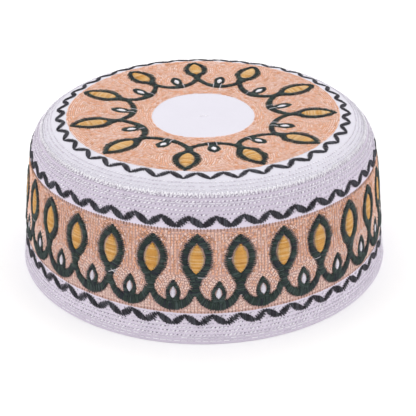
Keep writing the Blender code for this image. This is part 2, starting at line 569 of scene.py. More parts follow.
def vine(stems, shapes):
    # Every stem says how to lay its drop, its arc and its bud on the flat cloth.
    stalks, buds, leaves, seeds = [], [], [], []
    drop, bud = shapes["drop"], shapes["bud"]
    dropLook = {**greenLook, "ragged": shapes["ragged"]}
    ownLeafLook = {**leafLook, "tone": shapes["leafTone"], "toneSpread": shapes["leafSpread"]}
    ownSeedLook = {**seedLook, "tone": shapes["seedTone"]}
    for stem in stems:
        for hand in (-1, 1):
            stalks.append(satin(*map(stem["drop"], sidesOf(drop, hand)), dropLook))
            buds.append(satin(*map(stem["bud"], sidesOf(bud, hand)), budLook))
        stalks.append(satin(*map(stem["drop"], acrossOf(drop["neck"], drop)), greenLook))
        stalks.append(satin(*map(stem["arc"], arcEdges(shapes["arc"])), arcLook))
        leaves.append(satin(*map(stem["drop"], acrossOf(shapes["leaf"], drop)), ownLeafLook))
        seeds.append(satin(*map(stem["bud"], acrossOf(shapes["seed"], bud)), ownSeedLook))
    return stalks, buds, leaves, seeds


sideVine = {
    "repeats": 28,
    "firstFork": -2.7,  # in degrees
    "forkLength": 24.1,
    "budAcross": 10.15,
    # each stem is sewn by hand: a little stretched, shifted and tilted
    "drop": {"stretch": 0.012, "slip": 0.12, "tilt": 0.009},
    "bud": {"slip": 0.18, "tilt": 0.03},
    # heights over which a shift sets in, so that the foot stays on the arc
    "dropFirm": (0.0, 10.0),
    "budFirm": (-2.6, 1.4),
}


def setIn(heights, limits):
    low, high = limits
    return np.clip((heights - low) / (high - low), 0, 1)


def sideStem(index):
    across = degreesAcross(sideVine["firstFork"] + 360 / sideVine["repeats"] * index)
    fork = np.array([across, sideVine["forkLength"]])
    drop, bud = sideVine["drop"], sideVine["bud"]
    stretch, slip = luck.normal(1, drop["stretch"], 2), luck.normal(0, drop["slip"], 2)
    tilt = luck.normal(0, drop["tilt"])
    budSlip, budTilt = luck.normal(0, bud["slip"], 2), luck.normal(0, bud["tilt"])

    def placeDrop(points):
        x = points[:, 0] * stretch[0] + tilt * points[:, 1]
        share = setIn(points[:, 1:], sideVine["dropFirm"])
        return np.stack([x, points[:, 1] * stretch[1]], -1) + fork + slip * share

    def placeArc(points):
        return points + fork

    def placeBud(points):
        x = points[:, 0] + sideVine["budAcross"] + budTilt * points[:, 1]
        share = setIn(points[:, 1:], sideVine["budFirm"])
        return np.stack([x, points[:, 1]], -1) + fork + budSlip * share

    return {"drop": placeDrop, "arc": placeArc, "bud": placeBud}


# The crown's eleven leaves aren't evenly spaced. Each row has, in degrees, the fork of the
# vine, the tip of the leaf and the bud, then how far out the fork, the next arc and the tip lie.
crownStems = table(
    (-44, -42.5, -27, 38.8, 33.2, 66.2),
    (-9, -7, 6.5, 40.2, 34.7, 67.3),
    (21.5, 23.5, 37, 40.6, 34.9, 66.6),
    (52, 53, 67, 40.6, 34.8, 66.4),
    (85.5, 86.5, 101.5, 40.0, 32.5, 65.2),
    (120, 118.5, 134.5, 39.6, 33.0, 65.2),
    (153.5, 154, 168, 40.2, 34.2, 64.6),
    (183.5, 184.5, 199, 41.4, 35.0, 64.6),
    (215, 217, 230.5, 40.9, 34.0, 64.8),
    (247, 248.5, 264, 39.6, 33.2, 65.4),
    (281, 286, 298.5, 39.0, 31.4, 65.8),
)
crownVine = {
    "dropWidth": 0.92,
    "budWidth": 0.82,
    "budHeight": 0.98,
    "budBeyondArc": 7.5,
    # pale threads beside a bud's stem. On the first stems both are there.
    "sideThread": {
        "across": 2.3, "from": -9.4, "to": -2.6, "shortest": 0.75, "spread": 0.12,
        "missed": 0.4, "bothOn": 2,
    },
}


def standing(foot, upWay, width, height):
    # lays a shape on the crown from its foot on
    sideWay = np.array([upWay[1], -upWay[0]])
    return lambda points: foot + points[:, :1] * width * sideWay + points[:, 1:] * height * upWay


def crownStem(row, nextRow):
    fork, tip, budAngle, forkRadius, arcRadius, tipRadius = row
    nextFork, nextForkRadius = nextRow[[0, 3]]
    foot, head = polar(forkRadius, fork), polar(tipRadius, tip)
    tall = math.dist(foot, head)
    budFoot = polar(arcRadius + crownVine["budBeyondArc"], budAngle)
    arc = crownShapes["arc"]
    deep = (arcRadius - (forkRadius + nextForkRadius) / 2) / arc["lower"][-1, 1]

    def placeArc(points):
        share = points[:, 0] / arc["gap"]
        degrees = fork + share * (nextFork - fork)
        radius = forkRadius + share * (nextForkRadius - forkRadius)
        return polar(radius + points[:, 1] * deep, degrees)

    return {
        "drop": standing(
            foot, (head - foot) / tall, crownVine["dropWidth"], tall / tallOf(crownShapes["drop"])
        ),
        "arc": placeArc,
        "bud": standing(budFoot, unit(budFoot), crownVine["budWidth"], crownVine["budHeight"]),
    }


def stemsOfCrown():
    following = np.roll(crownStems, -1, axis=0)
    following[-1, 0] += 360
    return [crownStem(*rows) for rows in zip(crownStems, following)]


# loose threads that jump from one motif to the next: across, up at both ends, in mm
jumps = table(
    (-3.6, 33.2, 0.4, 33.0), (-44.6, 29.4, -38.5, 32.6), (-43.8, 30.6, -38.2, 31.3),
    (-42.9, 32.2, -38.6, 29.6), (50.5, 33.1, 55.0, 33.4), (9.6, 41.9, 12.2, 42.0),
    (15.1, 23.9, 16.6, 23.5), (95.0, 33.0, 99.0, 33.3), (-102.0, 33.2, -98.2, 33.0),
    (170.0, 32.9, 174.5, 33.2),
)
# where the thread is finished off in the middle of the crown
centreMark = table(
    (-1.6, -0.9, -0.3, 0.9), (-0.6, 1.1, 0.9, -0.6), (0.2, 0.8, 1.7, -0.8),
    (-1.9, 0.3, -0.4, -0.9), (0.9, -1.1, 2.2, 0.7),
)
jumpLook = {"width": 0.24, "puff": 0.85, "tone": 0.6, "toneSpread": 0.1, **wideSatin}
stemSideLook = {**jumpLook, "width": 0.34, "puff": 0.8, "tone": 0.7}
centreLook = {**jumpLook, "width": 0.5, "puff": 0.14, "tone": 1.0}


def jumpThreads(ends, look):
    return crossing(ends[:, :2], ends[:, 2:], look)


def stemSideThreads(stems):
    plain = crownVine["sideThread"]
    threads = []
    for index, stem in enumerate(stems):
        for hand in (-1, 1):
            if index >= plain["bothOn"] and luck.random() < plain["missed"]:
                continue
            x, low = hand * plain["across"], plain["from"] * luck.uniform(plain["shortest"], 1)
            ends = np.array([[x, low], [x, plain["to"]]])
            start, end = stem["bud"](ends + luck.normal(0, plain["spread"], (2, 2)))
            threads.append(crossing(start[None], end[None], stemSideLook))
    return threads


# zigzag borders: pairs of satin lozenges

zigzagStrokes = {
    # share of half a repeat from the foot to the peak, share of the height
    "side": (
        table((0, 0), (0.18, 0), (0.38, 0.05), (0.6, 0.17), (0.8, 0.37), (0.93, 0.59), (1, 0.79)),
        table((0, 0.26), (0.1, 0.45), (0.28, 0.66), (0.5, 0.82), (0.7, 0.92), (0.88, 0.97), (1, 1)),
    ),
    "crown": (
        table((0, -0.02), (0.26, 0.06), (0.54, 0.24), (0.82, 0.49), (1, 0.72)),
        table((0, 0.1), (0.1, 0.32), (0.26, 0.55), (0.5, 0.79), (0.75, 0.93), (1, 0.98)),
    ),
}
zigzagLook = {
    "spacing": 0.52, "endRagged": 1.0, "puff": 0.45, "width": 0.6, "tone": 0.5,
    "toneSpread": 0.38, **narrowSatin,
}
# falling and rising strokes differ in how ragged they are and how their threads lean
fallingLook = {**zigzagLook, "ragged": 0.3, "lean": 0.1}
risingLook = {**zigzagLook, "ragged": 0.48, "lean": -0.06}
# how far a zigzag slips, in mm, and how its raggedness changes from stroke to stroke
zigzagHand = {"slip": 0.12, "ragged": (0.7, 1.4)}
zigzagBorders = {
    "upperZigzag": {
        "repeats": 45, "foot": -0.35, "length": plan["upperZigzagFoot"], "height": 5.2,
        "strokes": "side", "fringe": 0.9, "oval": 0.0,
    },
    "lowerZigzag": {
        "repeats": 47, "foot": -1.6, "length": plan["lowerZigzagFoot"], "height": 5.4,
        "strokes": "side", "fringe": 1.35, "oval": 0.0,
    },
    "crownZigzag": {
        "repeats": 38, "foot": 2.24, "length": plan["crownZigzagFoot"], "height": 4.7,
        "strokes": "crown", "fringe": 0.9, "oval": plan["crownOval"],
    },
}


def zigzagThreads(border):
    threads = []
    pitch = 360 / border["repeats"]
    for index in range(border["repeats"]):
        foot = border["foot"] + pitch * index
        slip = luck.normal(0, zigzagHand["slip"], 2)
        for hand, look, fringe in ((-1, fallingLook, 1.0), (1, risingLook, border["fringe"])):
            edges = []
            for shares in zigzagStrokes[border["strokes"]]:
                x = degreesAcross(foot) + hand * shares[:, 0] * degreesAcross(pitch / 2)
                y = border["length"] + shares[:, 1] * border["height"]
                y = y + border["oval"] * np.sin(x / plan["chartRadius"]) ** 2
                edges.append(smoothCurve(np.stack([x, y], -1) + (1 - shares[:, :1]) * slip))
            ragged = look["ragged"] * fringe * luck.uniform(*zigzagHand["ragged"])
            threads.append(satin(*edges, {**look, "ragged": ragged}))
    return threads


# the peach ground

echoLook = {
    "stitch": 1.4, "gap": 0.12, "width": 0.73, "lift": 0.26,
    "tone": 0.56, "toneSpread": 0.3, "leastTone": 0.32, **flatStitch,
}
crownGroundLook = {
    "stitch": 2.3, "gap": 0.15, "width": 0.74, "lift": 0.17,
    "tone": 0.74, "toneSpread": 0.18, "leastTone": 0.42, **longStitch,
}
# every column is a chain of small Vs
columnLook = {
    "width": 0.54, "lift": 0.25, "tone": 0.74, "toneSpread": 0.18, "leastTone": 0.42, **flatStitch,
}
columnChain = {
    "columns": 376, "pitch": 1.35, "size": 1.55, "footHalf": 0.38, "headHalf": 0.16,
    "room": (0.5, 0.9),  # left free under and over a column
    "firstStart": 0.6,  # the lowest V begins up to this many pitches higher
    "waver": (0.1, 3.1),  # how far a column wavers, and over which length
    # how far the columns, their stitches and the dark stitches of painted hole shade lie from their
    # places, in mm
    "columnSpread": 0.04, "spread": (0.04, 0.05), "holeShadeSpread": 0.06,
}
# dark stitches between the ends of the columns: painted shade standing for the holes the columns pull
# in the cloth
holeShadeLook = {"width": 0.46, "lift": 0.22, "tone": 0.15, "toneSpread": 0.06, **flatStitch}
edgeHoleShades = ((plan["peachTop"] - 0.25, 1.55), (plan["peachFoot"] + 0.45, 1.2))  # middle, length
sideGround = {
    "echoDistances": (0.4, 1.15, 1.9),
    "shortestEcho": 3.0,
    "echoFrom": 21.5,  # under the hanging arcs the columns run right up to the vine
    "echoTo": plan["peachTop"] - 0.8,
    "narrow": (33.5, 48.5),  # between the drops there is room for one echo only
    # how far the columns keep from the vine: above the arcs, between the drops, under the arcs
    "columnsClear": 2.3,
    "columnsClearNarrow": 0.8,
    "columnsClearLow": 0.35,
    # how much paler the lowest stitches of the columns are, and up to which length
    "lowTone": 0.34,
    "lowTop": 20.5,
    # painted light: the echoes in the pockets are made paler to lift the shade the vine casts there
    "pocketPaintedLight": 0.36,  # and the echoes in the pockets beside the buds
}
crownGround = {"firstRow": 0.45, "rowPitch": 1.02, "edgeSlack": 0.6, "shortest": 2.5}


def evened(line):
    # every point becomes the mean of five
    padded = np.vstack([line[:1], line[:1], line, line[-1:], line[-1:]])
    return np.stack([np.convolve(column, np.ones(5) / 5, "valid") for column in padded.T], -1)


def echoRows(chart):
    # short stitches that follow the outlines of the vine
    threads = []
    ground = sideGround
    low, high = ground["narrow"]
    for row, distance in enumerate(ground["echoDistances"]):
        for line in chart.level(distance):
            if lengthsAlong(line)[-1] < ground["shortestEcho"]:
                continue
            paths, lifts, widths, tones = running(evened(line), echoLook)
            up = paths.mean(1)[:, 1]
            # painted light: paler echoes in the pockets beside the buds
            tones[up < low] += ground["pocketPaintedLight"]
            good = (up > ground["echoFrom"]) & (up < ground["echoTo"])
            good &= (row == 0) | (up < low) | (up > high)
            threads.append((paths[good], lifts[good], widths[good], tones[good]))
    return threads


def columnRows(chart):
    # upright chains between them, with dark stitches between their ends: painted shade for the holes
    # there
    threads = []
    bottom, top = plan["peachFoot"], plan["peachTop"]
    chain, ground = columnChain, sideGround
    count = int((top - bottom - sum(chain["room"])) / chain["pitch"])
    shares = np.array(columnLook["shares"])
    half = chain["footHalf"] + (chain["headHalf"] - chain["footHalf"]) * shares
    low, high = ground["narrow"]
    (spreadX, spreadY), (waver, waverLength) = chain["spread"], chain["waver"]
    for index in range(chain["columns"]):
        across = wayRound * ((index + 0.5) / chain["columns"] - 0.5)
        across += luck.normal(0, chain["columnSpread"])
        steps = np.arange(count) + luck.uniform(0, chain["firstStart"])
        foot = bottom + chain["room"][0] + steps * chain["pitch"]
        drift = across + waver * np.sin(foot / waverLength + luck.uniform(0, turn))
        up = foot + chain["size"] / 2
        least = np.where(up > ground["echoFrom"], ground["columnsClear"], ground["columnsClearLow"])
        least = np.where((up > low) & (up < high), ground["columnsClearNarrow"], least)
        good = chart.clearance(np.stack([drift, up], -1)) > least
        drift, foot = drift[good, None], foot[good, None]
        paler = np.where(foot[:, 0] < ground["lowTop"], ground["lowTone"], 0)
        for hand in (-1, 1):
            x = drift + hand * half + luck.normal(0, spreadX, drift.shape)
            y = foot + chain["size"] * shares + luck.normal(0, spreadY, foot.shape)
            paths, lifts, widths, tones = laid(np.stack([x, y], -1), columnLook)
            threads.append((paths, lifts, widths, np.minimum(tones + paler, 1)))
        between = across + wayRound / chain["columns"] / 2
        # painted shade: dark stitches where the holes between the columns' ends lie
        for middle, length in edgeHoleShades:
            y = middle + luck.normal(0, chain["holeShadeSpread"]) + (shares - 0.5) * length
            threads.append(laid(np.stack([between + 0 * y, y], -1)[None], holeShadeLook))
    return threads


def crownGroundThreads(chart):
    # rows that follow the vine, one inside the other, from the disc to the border
    threads = []
    columns, rows = np.indices(chart.field.shape)
    x, y = chart.low[0] + columns * chart.step, chart.low[1] + rows * chart.step
    radius, angle = np.hypot(x, y), np.arctan2(x, -y)
    disc = plan["discRadius"] + plan["discOval"] * np.cos(2 * angle)
    edge = plan["crownPeachRadius"] - plan["crownOval"] * np.sin(angle) ** 2
    inside = np.minimum(edge - radius, radius - disc) + crownGround["edgeSlack"]
    chart.field = np.minimum(chart.field, inside)
    distance = crownGround["firstRow"]
    while distance < chart.field.max():
        for line in chart.level(distance):
            if lengthsAlong(line)[-1] >= crownGround["shortest"]:
                threads.append(running(line, crownGroundLook))
        distance += crownGround["rowPitch"]
    return threads


# white quilting rows: lengths of the lowest and highest row, rows, then each stitch's pitch,
# size and slant, and how deep the row is pressed

quiltedBands = {
    "lowerQuilting": {
        "low": 4.45, "high": 13.85, "rows": 6, "pitch": 1.79,
        "stitch": 1.25, "slant": 1.1, "groove": 0.16,
    },
    "shoulderQuilting": {
        "low": 57.9, "high": 69.0, "rows": 7, "pitch": 1.92,
        "stitch": 1.3, "slant": 0.8, "groove": 0.14,
    },
    "crownQuilting": {
        "low": 72.3, "high": 75.9, "rows": 3, "pitch": 2.0,
        "stitch": 1.1, "slant": 0.4, "groove": 0.02,
    },
}
quiltLook = {
    "width": 0.66, "lift": 0.36, "tone": 0.72, "toneSpread": 0.18, "clear": 0.55, "missed": 0.04,
    "acrossSpread": 0.06, "sizeSpread": 0.12, "slantSpread": 0.2, "upSpread": 0.08,
    **flatStitch,
}
levelRows = (1.65, 3.1, 66.3)  # along the hem and beside the seam
levelLook = {
    "stitch": 2.6, "gap": 0.4, "width": 0.44, "lift": 0.2, "tone": 0.85, "toneSpread": 0.2,
    "points": 700,
    "waver": ((0.1, 7.0, 1), (0.06, 2.3, 2)),  # how far up and down, how long, and its start
    **longStitch,
}


def wholePitch(pitch):
    # the nearest pitch that fits an even number of times round the cap
    return wayRound / (2 * round(wayRound / pitch / 2))


def quiltRows(band):
    return np.linspace(band["low"], band["high"], band["rows"])


def quiltThreads(band, chart):
    threads = []
    pitch = wholePitch(band["pitch"])
    count = round(wayRound / pitch)
    shares = np.array(quiltLook["shares"]) * 2 - 1
    look = quiltLook
    for row, length in enumerate(quiltRows(band)):
        # every second row is shifted by half a pitch
        steps = np.arange(count) + 0.5 * (row % 2) + luck.normal(0, look["acrossSpread"], count)
        half = band["stitch"] / 2 * luck.normal(1, look["sizeSpread"], (count, 1))
        x = steps[:, None] * pitch - wayRound / 2 + half * shares
        slant = band["slant"] / 2 * luck.normal(1, look["slantSpread"], (count, 1))
        y = length + luck.normal(0, look["upSpread"], (count, 1)) + slant * shares
        paths = np.stack([x, y], -1)
        good = chart.clearance(paths.mean(1)) > look["clear"]
        good &= luck.random(count) > look["missed"]
        threads.append(laid(paths[good], look))
    return threads


def levelThreads():
    threads = []
    across = np.linspace(-wayRound / 2, wayRound / 2, levelLook["points"])
    for length in levelRows:
        y = length
        for deep, long, start in levelLook["waver"]:
            y = y + deep * np.sin(across / long + start * length)
        threads.append(running(np.stack([across, y], -1), levelLook))
    return threads


# the seam that joins the crown to the band

seam = {
    "middle": 70.2,
    # two rows that make a zigzag: reach to both sides of the seam, slant, pitch, shift in pitches
    "rows": ((1.05, 0.95, 2.1, 0.0), (1.0, -0.95, 2.1, 0.5)),
    "acrossSpread": 0.12, "slantSpread": 0.35, "reachSpread": 0.16,
    "look": {"width": 0.62, "puff": 0.62, "tone": 0.98, "toneSpread": 0.16, **narrowSatin},
    # a cord lies along it
    "cord": {
        "stitch": 2.4, "gap": 0.3, "width": 0.56, "lift": 0.2, "tone": 0.9, "toneSpread": 0.1,
        "points": 900, **longStitch,
    },
    "cordRows": (-0.1, 0.4),
}


def seamThreads():
    threads = []
    for reach, lean, pitch, shift in seam["rows"]:
        count = round(wayRound / pitch)
        steps = np.arange(count) + shift + luck.normal(0, seam["acrossSpread"], count)
        across = steps / count * wayRound
        slant = lean * luck.normal(1, seam["slantSpread"], count)
        low = seam["middle"] - reach * luck.normal(1, seam["reachSpread"], count)
        high = seam["middle"] + reach * luck.normal(1, seam["reachSpread"], count)
        start, end = (across - slant / 2, low), (across + slant / 2, high)
        threads.append(crossing(np.stack(start, -1), np.stack(end, -1), seam["look"]))
    return threads


def seamCord():
    across = np.linspace(0, wayRound, seam["cord"]["points"])
    rows = [np.stack([across, seam["middle"] + off + 0 * across], -1) for off in seam["cordRows"]]
    return [running(row, seam["cord"]) for row in rows]


# cloth

clothLook = {
    "angleSteps": 420,
    "coarse": 1.9,  # spacing of the rings on the plain stretches
    "fine": 0.45,  # and where the quilting shows
    "inside": 4.0,
    "insideCrown": 5.0,
    "fineBeyondZigzag": 2.0,
    "closing": 1.0,  # the last ring stands this far from the middle of the crown
    "foldSteps": 4,
    "seamGap": 0.03,
    "grooveHalf": 0.4,
    "peachPressed": 0.13,
    # half width and depth of the grooves of the level rows and of the seam
    "levelGroove": (0.35, 0.12),
    "seamGroove": (0.5, 0.12),
}


def ringLengths(low, high, step):
    count = max(1, round((high - low) / step))
    return list(low + (high - low) * np.arange(count) / count)


def groove(length, middle, half, deep):
    return deep * math.exp(-(((length - middle) / half) ** 2))


def clothRelief(length):
    # quilted rows press the cloth down, and the padding stands up between them
    relief = 0.0
    if plan["peachFoot"] < length < plan["peachTop"]:
        relief -= clothLook["peachPressed"]
    else:
        for band in quiltedBands.values():
            for row in quiltRows(band):
                relief -= groove(length, row, clothLook["grooveHalf"], band["groove"])
    for row in levelRows:
        relief -= groove(length, row, *clothLook["levelGroove"])
    return relief - groove(length, plan["seam"], *clothLook["seamGroove"])


def turnedCloth(name, outer, fold, inner, material):
    # Rings turned round the cap: on the outside, round a folded edge, and on the inside. Without
    # a fold, both sheets close on a point in the middle of the crown.
    steps = clothLook["angleSteps"]
    k = np.arange(steps)
    following = (k + 1) % steps
    angle = k / steps * turn
    rings = [onCloth(length, angle, clothRelief(length)) for length in outer]
    rings += [turnedPlace(radius, height, angle) for radius, height in fold]
    rings += [onCloth(length, angle, -plan["wall"]) for length in inner]
    vertices = np.concatenate(rings)
    # the map runs backwards on the inside, which is plain
    mapLength = [*outer, *[0.0] * len(fold), *[-length for length in inner]]
    here, after = angle * plan["chartRadius"], (k + 1) / steps * wayRound
    x = np.stack([here, here, after, after], -1)
    faces, corners = [], []
    count, apex = len(rings), len(outer) - 1
    for a in range(count):
        b = (a + 1) % count
        if a == apex and not fold:
            continue
        ends = (mapLength[a], mapLength[b])
        if not b:
            # the strip that joins the two sheets at the seam lies at one length
            ends = (mapLength[a if fold else b],) * 2
        quads = [a * steps + k, b * steps + k, b * steps + following, a * steps + following]
        faces += np.stack(quads, -1).tolist()
        corners.append(np.stack([x, np.array(ends)[[0, 1, 1, 0]] + 0 * x], -1))
    if not fold:
        for ring, lift, way in ((apex, 0.0, 1), (apex + 1, -plan["wall"], -1)):
            tip = np.full(steps, len(vertices))
            vertices = np.vstack([vertices, onCloth(wholeLength, 0.0, lift)])
            fan = np.stack([ring * steps + k, tip, ring * steps + following], -1)
            faces += fan[:, ::way].tolist()
            x = np.stack([here, (here + after) / 2, after], -1)[:, ::way]
            y = np.array([mapLength[ring], way * wholeLength, mapLength[ring]]) + 0 * x
            corners.append(np.stack([x, y], -1))
    piece = newObject(name, vertices, faces, material)
    addMap(piece, "rowMap", corners)
    print("cut", name, len(faces), "faces")
    return piece


def foldedEdge():
    # the lower edge is folded over: radius, height
    radius, wall, fold = capLine["lower edge"][0], plan["wall"], plan["foldRadius"]
    points = []
    for centre, start in ((radius - fold, 0.0), (radius - wall + fold, -90.0)):
        for step in range(clothLook["foldSteps"] + 1):
            angle = math.radians(start - 90 / clothLook["foldSteps"] * step)
            points.append((centre + fold * math.cos(angle), fold + fold * math.sin(angle)))
    return points


def makeCloth(materials):
    fine, coarse = clothLook["fine"], clothLook["coarse"]
    low, edge = 2 * plan["foldRadius"], plan["seam"] - clothLook["seamGap"]
    band = ringLengths(low, plan["peachFoot"], fine)
    band += ringLengths(plan["peachFoot"], plan["peachTop"], coarse)
    band += [*ringLengths(plan["peachTop"], edge, fine), edge]
    inside = [*ringLengths(low, edge, clothLook["inside"]), edge]
    band = turnedCloth("bandCloth", band[::-1], foldedEdge(), inside, materials["band_cotton"])
    edge, last = plan["seam"] + clothLook["seamGap"], wholeLength - clothLook["closing"]
    fineEnd = plan["crownZigzagFoot"] + clothLook["fineBeyondZigzag"]
    crown = ringLengths(edge, fineEnd, fine)
    crown += [*ringLengths(fineEnd, last, coarse), last]
    inside = [*ringLengths(edge, last, clothLook["insideCrown"]), last]
    crown = turnedCloth("crownCloth", crown, [], inside[::-1], materials["crown_cotton"])
    for piece, node, slot in ((band, "side_band", "band_cotton"), (crown, "crown", "crown_cotton")):
        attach(piece, "root")
        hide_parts(node)


# materials

# dark, middle and light dye, then the finish: how fine and how strong the patches of the dye
# are, and how much paler the ends of a thread are
threadDyes = {
    "green_thread": {
        "name": "green satin thread",
        "dyes": ((0.014, 0.017, 0.028), (0.015, 0.032, 0.024), (0.050, 0.074, 0.070)),
        "roughness": 0.55, "sheen": 0.03, "patch": 260, "patchAmount": 1.1, "fade": 0.1,
    },
    "charcoal_thread": {
        "name": "charcoal satin thread",
        "dyes": ((0.010, 0.008, 0.014), (0.027, 0.024, 0.035), (0.070, 0.072, 0.088)),
        "roughness": 0.55, "sheen": 0.03, "patch": 200, "patchAmount": 0.6, "fade": 0.1,
    },
    "yellow_thread": {
        "name": "yellow satin thread",
        "dyes": ((0.52, 0.22, 0.03), (0.70, 0.36, 0.075), (0.80, 0.56, 0.30)),
        "roughness": 0.5, "sheen": 0.1, "patch": 500, "patchAmount": 0.6, "fade": 0.7,
    },
    "peach_thread": {
        "name": "peach cotton thread",
        "dyes": ((0.13, 0.08, 0.07), (0.86, 0.435, 0.26), (0.94, 0.70, 0.63)),
        "roughness": 0.65, "sheen": 0.1, "patch": 160, "patchAmount": 0.3, "fade": 0.0,
    },
    "white_thread": {
        "name": "white cotton thread",
        "dyes": ((0.56, 0.51, 0.60), (0.74, 0.69, 0.78), (0.94, 0.92, 0.97)),
        "roughness": 0.6, "sheen": 0.1, "patch": 150, "patchAmount": 0.25, "fade": 0.0,
    },
}
cottons = {
    "band_cotton": {
        "name": "band cotton",
        "white": ((0.54, 0.48, 0.58), (0.67, 0.605, 0.71), (0.74, 0.68, 0.78)),
        # the peach cloth seen between the stitches: partly its own colour, partly painted shade of the
        # gaps between them
        "peach": (0.56, 0.335, 0.28),
        # painted shade in the needle holes
        "prickShade": (0.19, 0.155, 0.21),
        "straightWeave": False,
        "slub": 0.3,
        "rib": 0.25,
        # painted shade: the hem and the shoulder are painted a little darker: from, to, softness,
        # amount
        "paintedShadeBands": ((-4.0, 4.2, 1.2, 0.15), (57.5, 74.0, 5.0, 0.18)),
        "quilted": ("lowerQuilting", "shoulderQuilting"),
        "peachRing": {"From": plan["peachFoot"] - 0.1, "To": plan["peachTop"] + 0.1},
    },
    "crown_cotton": {
        "name": "crown cotton",
        "white": ((0.50, 0.475, 0.55), (0.635, 0.615, 0.68), (0.69, 0.675, 0.745)),
        # the peach cloth seen between the stitches: partly its own colour, partly painted shade of the
        # gaps between them
        "peach": (0.61, 0.35, 0.235),
        # painted shade in the needle holes
        "prickShade": (0.63, 0.60, 0.67),
        "straightWeave": True,
        "slub": 1.1,
        "rib": 0.1,
        # painted shade: the crown's border beside the seam is painted a little darker
        "paintedShadeBands": ((62.0, 80.0, 6.0, 0.03),),
        "quilted": ("crownQuilting",),
        "peachRing": {
            "From": float(lengthAtRadius(plan["crownPeachRadius"])) - 0.2,
            "To": float(lengthAtRadius(plan["discRadius"])) + 0.2,
            "Oval": plan["discOval"], "Edge_Oval": plan["crownOval"],
        },
    },
}
threadFinish = {
    "fibre": 0.3,
    "bump": (0.5, 0.00008),  # strength, height in metres
    "sheenRoughness": 0.5,
    "specular": 0.3,
    "fadeSlope": 2.6,  # higher keeps the paler part nearer to the ends
}
cottonFinish = {
    # the colour mixed in for the painted shade of the darker bands
    "shade": (0.12, 0.07, 0.15),
    "patch": 60.0,
    "patchAmount": 0.25,
    "roughness": 0.8,
    "bump": (0.5, 0.00006),
    "sheen": 0.1,
    "specular": 0.2,
    "threadsPerMm": 2.4,
    "prickSize": 0.34,
}


def newGroup(name, inputs, outputs):
    # an input has its first value, or says that it is a Color or a Vector
    tree = bpy.data.node_groups.new(name, "ShaderNodeTree")
    for label, value in inputs.items():
        kind = value if isinstance(value, str) else "Float"
        socket = tree.interface.new_socket(label, in_out="INPUT", socket_type="NodeSocket" + kind)
        if kind == "Float":
            socket.default_value = value
    for label, kind in outputs.items():
        tree.interface.new_socket(label, in_out="OUTPUT", socket_type="NodeSocket" + kind)
    return tree, tree.nodes.new("NodeGroupInput").outputs, tree.nodes.new("NodeGroupOutput").inputs


def plug(tree, socket, value):
    # a value is either another node's output or a plain number, colour or vector
    if isinstance(value, bpy.types.NodeSocket):
        tree.links.new(value, socket)
    elif value is not None:
        socket.default_value = value


def maths(tree, operation, first, second=None, third=None, clamp=False):
    node = tree.nodes.new("ShaderNodeMath")
    node.operation = operation
    node.use_clamp = clamp
    for socket, value in zip(node.inputs, (first, second, third)):
        plug(tree, socket, value)
    return node.outputs[0]


def times(tree, first, second, clamp=False):
    return maths(tree, "MULTIPLY", first, second, clamp=clamp)


def scaled(tree, value, factor, extra, clamp=False):
    return maths(tree, "MULTIPLY_ADD", value, factor, extra, clamp)


def wave(tree, value, factor):
    return maths(tree, "SINE", times(tree, value, factor))


def mixColours(tree, factor, first, second, blend="MIX"):
    node = tree.nodes.new("ShaderNodeMix")
    node.data_type = "RGBA"
    node.blend_type = blend
    for index, value in ((0, factor), (6, first), (7, second)):
        plug(tree, node.inputs[index], value)
    return node.outputs[2]


def vectorMaths(tree, operation, vector, name, value):
    node = tree.nodes.new("ShaderNodeVectorMath")
    node.operation = operation
    plug(tree, node.inputs[0], vector)
    plug(tree, node.inputs[name], value)
    return node.outputs[0]


def noise(tree, vector, scale, detail=2.0):
    node = tree.nodes.new("ShaderNodeTexNoise")
    plug(tree, node.inputs["Vector"], vector)
    plug(tree, node.inputs["Scale"], scale)
    node.inputs["Detail"].default_value = detail
    return node.outputs["Fac"]


def objectPlace(tree):
    return tree.nodes.new("ShaderNodeTexCoord").outputs["Object"]


def acrossAndUp(tree, flatMap):
    parts = tree.nodes.new("ShaderNodeSeparateXYZ")
    plug(tree, parts.inputs[0], flatMap)
    return parts.outputs[0], parts.outputs[1]


def dyeGroup():
    # three dye tones, chosen by a tone and by patches that wander over the cloth
    inputs = {"Dark": "Color", "Middle": "Color", "Light": "Color"}
    inputs.update({"Tone": 0.5, "Patch Scale": 200.0, "Patch Amount": 0.5})
    tree, given, made = newGroup("dye drift", inputs, {"Color": "Color"})
    patch = maths(tree, "SUBTRACT", noise(tree, objectPlace(tree), given["Patch Scale"]), 0.5)
    tone = scaled(tree, patch, given["Patch Amount"], given["Tone"], clamp=True)
    low = times(tree, tone, 2.0, clamp=True)
    high = scaled(tree, tone, 2.0, -1.0, clamp=True)
    colour = mixColours(tree, low, given["Dark"], given["Middle"])
    plug(tree, made["Color"], mixColours(tree, high, colour, given["Light"]))
    return tree


def twistGroup():
    # two plies twisted round each other, with fine fibres
    inputs = {"Map": "Vector", "Turns per mm": 0.9, "Fibre": 0.3}
    tree, given, made = newGroup("thread twist", inputs, {"Height": "Float", "Shade": "Float"})
    along, around = acrossAndUp(tree, given["Map"])
    phase = scaled(tree, around, 2.0, times(tree, along, given["Turns per mm"]))
    ply = maths(tree, "ABSOLUTE", wave(tree, phase, turn / 2))
    # the fibres are much longer than they are wide
    stretched = vectorMaths(tree, "MULTIPLY", given["Map"], 1, (1.2, 9.0, 1.0))
    fibre = times(tree, noise(tree, stretched, 2.0), given["Fibre"])
    plug(tree, made["Height"], maths(tree, "ADD", ply, fibre))
    plug(tree, made["Shade"], scaled(tree, ply, 0.25, 0.75))
    return tree


